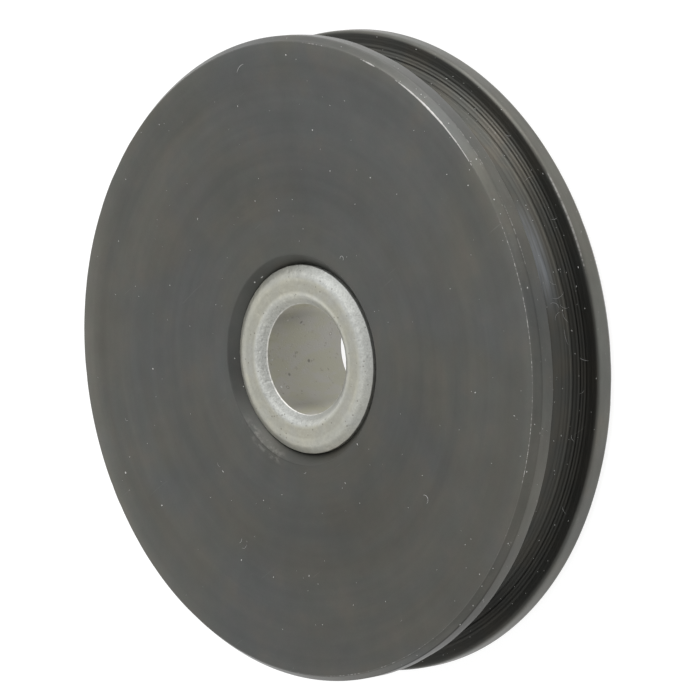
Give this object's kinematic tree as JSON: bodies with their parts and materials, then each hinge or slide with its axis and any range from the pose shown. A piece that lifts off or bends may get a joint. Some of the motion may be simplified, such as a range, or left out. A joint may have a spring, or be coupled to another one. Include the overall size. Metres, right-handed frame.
{
  "type": "wire rope sheave",
  "caption": "Flat-sided steel wire rope sheave with a round-bottomed rim groove and a thick plain bushing pressed flush into its chamfered middle.",
  "frame": {"origin": "on the bore axis, half way between the two flat faces", "axes": "+Z along the bore axis, out of the front face, the one where the pin bore has a bell mouth; the part is a body of revolution, so +X and +Y are free"},
  "size_m": [0.092, 0.092, 0.0158],
  "materials": {
    "blackened_steel": "satin black oxide, oiled, with a bright worn face edge",
    "bushing_metal": "bare satin, finely pitted"
  },
  "bodies": {
    "root": {"sheave": "blackened_steel", "bushing": "bushing_metal"}
  },
  "joints": []
}
